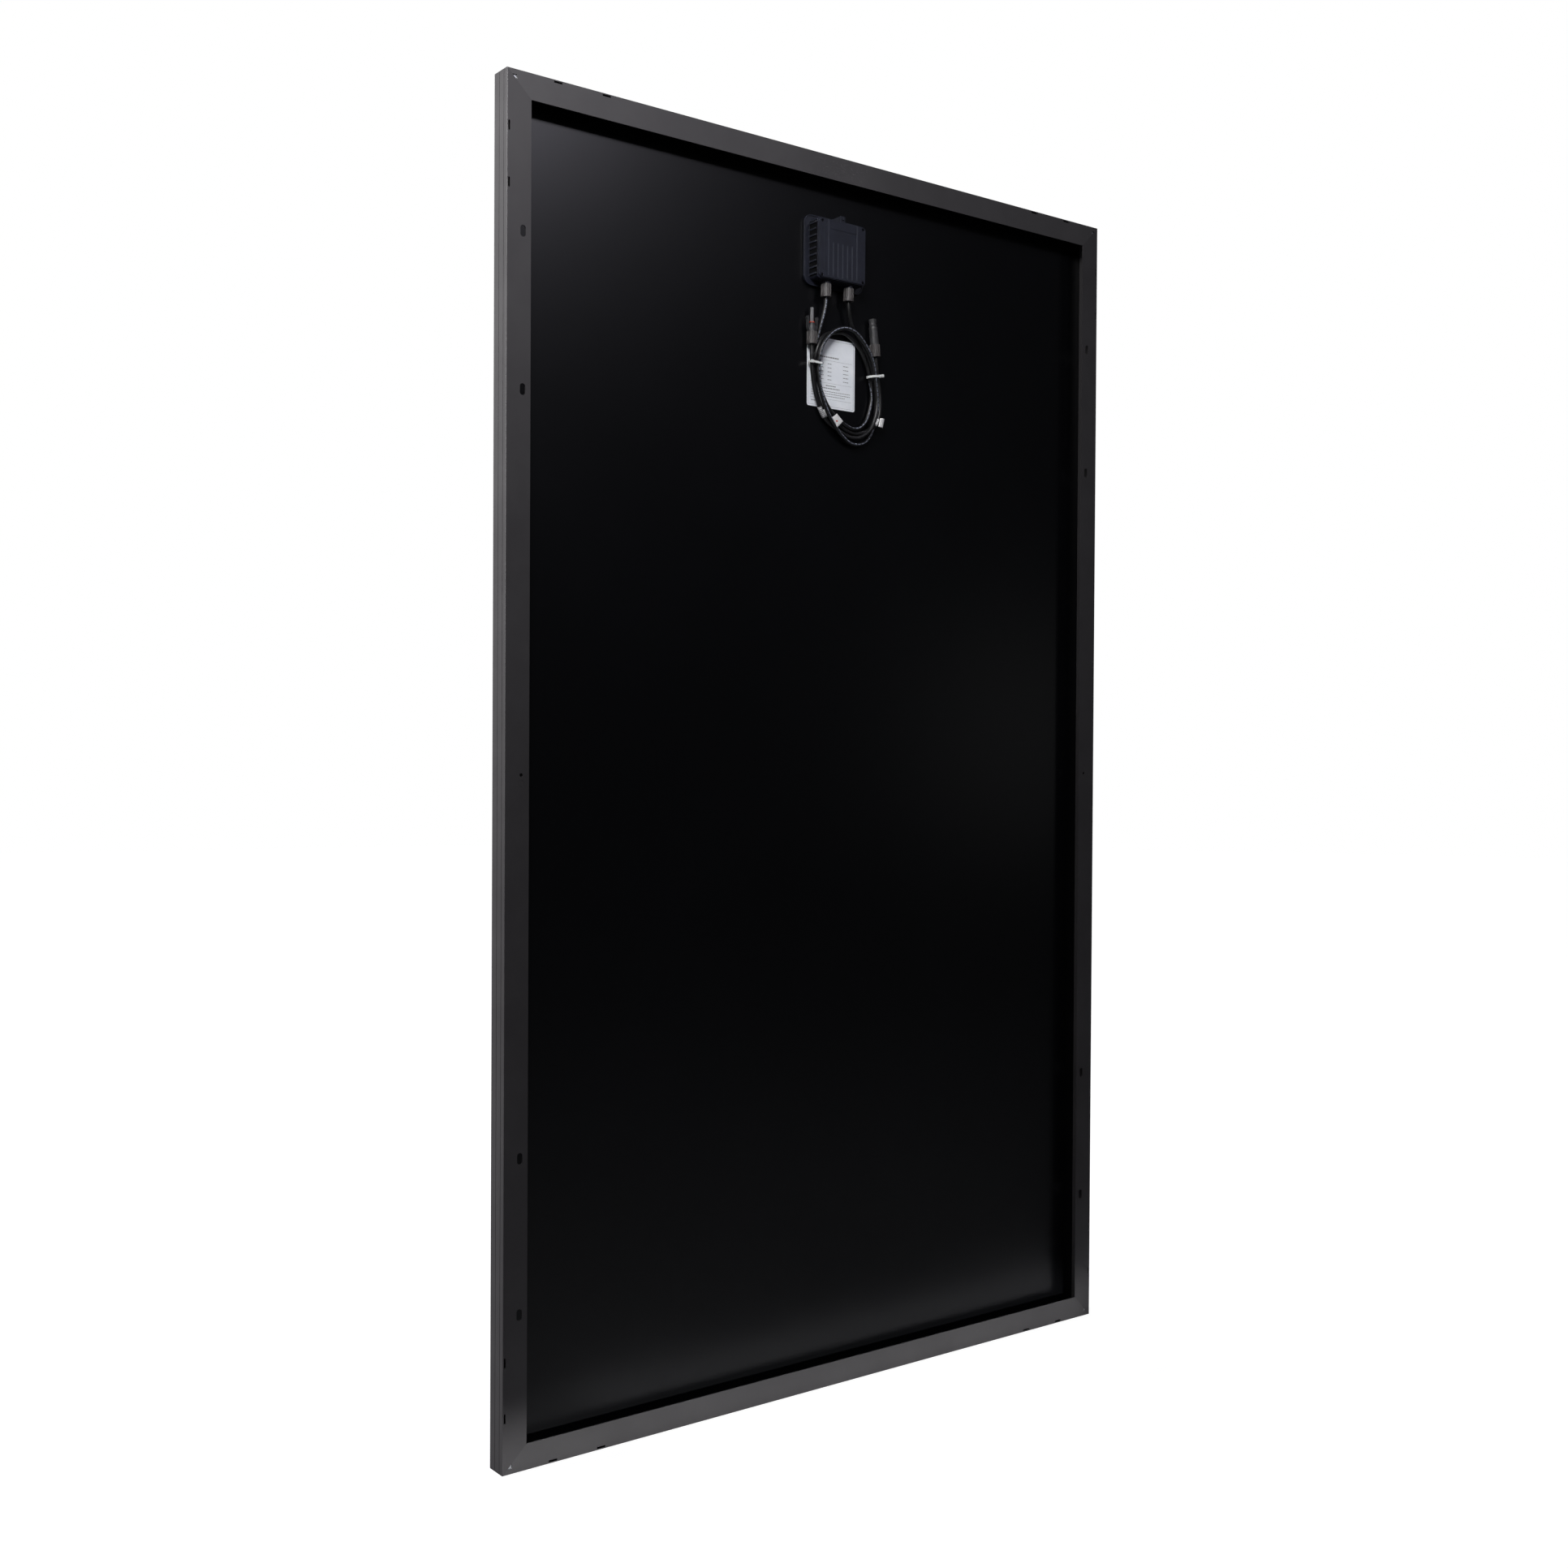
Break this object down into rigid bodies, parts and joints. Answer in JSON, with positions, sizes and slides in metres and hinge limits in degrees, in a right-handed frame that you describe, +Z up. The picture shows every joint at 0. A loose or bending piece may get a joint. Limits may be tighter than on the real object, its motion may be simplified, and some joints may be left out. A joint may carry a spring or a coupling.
{
  "type": "solar panel",
  "caption": "Framed photovoltaic panel with a mitred frame, dark backsheet, screwed junction box and two coiled leads with round plug and socket connectors.",
  "frame": {"origin": "middle of the bottom edge, halfway through the frame's thickness", "axes": "+Z up along the long rails, +Y from the back flange towards the glass, +X to the right as seen from the back"},
  "size_m": [1.001, 0.033, 1.675],
  "materials": {
    "frame_anodised": "black anodised, fine satin",
    "bare_aluminium": "mill finish",
    "silicone": "matt cured silicone",
    "glass": "clear tempered glass with a fine texture",
    "clear_film": "clear laminated film",
    "silicon_cell": "dark blue-black coated silicon",
    "tinned_copper": "tinned, satin",
    "rear_film": "black laminated film",
    "backsheet_film": "black satin film",
    "label_film": "white printed film",
    "box_plastic": "fine textured moulding",
    "copper": "bare copper",
    "diode_case": "moulded epoxy",
    "spring_steel": "spring temper",
    "clamp_metal": "nickel plated",
    "cable_jacket": "satin cross-linked jacket",
    "seal_rubber": "matt rubber",
    "nut_plastic": "satin moulding",
    "screw_steel": "dark plated",
    "connector_plastic": "satin moulding",
    "plug_tube_plastic": "smooth grey moulding",
    "contact_metal": "tinned",
    "ring_rubber": "orange-red rubber",
    "tie_nylon": "natural nylon"
  },
  "bodies": {
    "root": {"rail_left": "frame_anodised", "rail_right": "frame_anodised", "rail_top": "frame_anodised", "rail_bottom": "frame_anodised", "corner_keys": "bare_aluminium", "edge_seal": "silicone", "front_glass": "glass", "front_encapsulant": "clear_film", "solar_cells": "silicon_cell", "cell_ribbons": "tinned_copper", "bus_ribbons": "tinned_copper", "box_leads": "tinned_copper", "rear_encapsulant": "rear_film", "backsheet": "backsheet_film", "rating_label": "label_film", "box_adhesive": "silicone", "box_base": "box_plastic", "terminal_plates": "copper", "bypass_diodes": "diode_case", "ribbon_clips": "spring_steel", "cable_clamps": "clamp_metal", "cable_ends": "cable_jacket", "gland_seals": "seal_rubber", "lead_left": "cable_jacket", "lead_right": "cable_jacket", "cable_coil": "cable_jacket", "tail_left": "cable_jacket", "tail_right": "cable_jacket", "plug_body": "connector_plastic", "plug_tube": "plug_tube_plastic", "plug_contact": "contact_metal", "plug_ring": "ring_rubber", "plug_seal": "seal_rubber", "socket_body": "connector_plastic", "socket_contact": "contact_metal", "socket_seal": "seal_rubber", "tie_left": "tie_nylon", "tie_right": "tie_nylon", "wrap_label_left": "label_film", "flag_label_left": "label_film", "flag_label_right": "label_film"},
    "lid": {"box_lid": "box_plastic", "lid_gasket": "seal_rubber", "lid_screws": "screw_steel"},
    "left_gland_nut": {"gland_nut_left": "nut_plastic"},
    "right_gland_nut": {"gland_nut_right": "nut_plastic"},
    "plug_cap": {"plug_nut": "nut_plastic"},
    "socket_cap": {"socket_nut": "nut_plastic"}
  },
  "joints": [
    {"name": "lid_lift", "type": "slide", "parent": "root", "child": "lid", "axis": [0, -1, 0], "range_m": [0, 0.04]},
    {"name": "left_gland_nut_turn", "type": "hinge", "parent": "root", "child": "left_gland_nut", "pos_m": [-0.0137, -0.0025, 1.487], "axis": [0, 0, 1], "range_deg": [-360, 0]},
    {"name": "right_gland_nut_turn", "type": "hinge", "parent": "root", "child": "right_gland_nut", "pos_m": [0.0253, -0.0025, 1.487], "axis": [0, 0, 1], "range_deg": [-360, 0]},
    {"name": "plug_cap_turn", "type": "hinge", "parent": "root", "child": "plug_cap", "pos_m": [-0.0345, 0.0015, 1.421], "axis": [0, 0, 1], "range_deg": [-360, 0]},
    {"name": "socket_cap_turn", "type": "hinge", "parent": "root", "child": "socket_cap", "pos_m": [0.077, 0.0015, 1.4195], "axis": [-0.1149, 0, 0.9934], "range_deg": [-360, 0]}
  ]
}
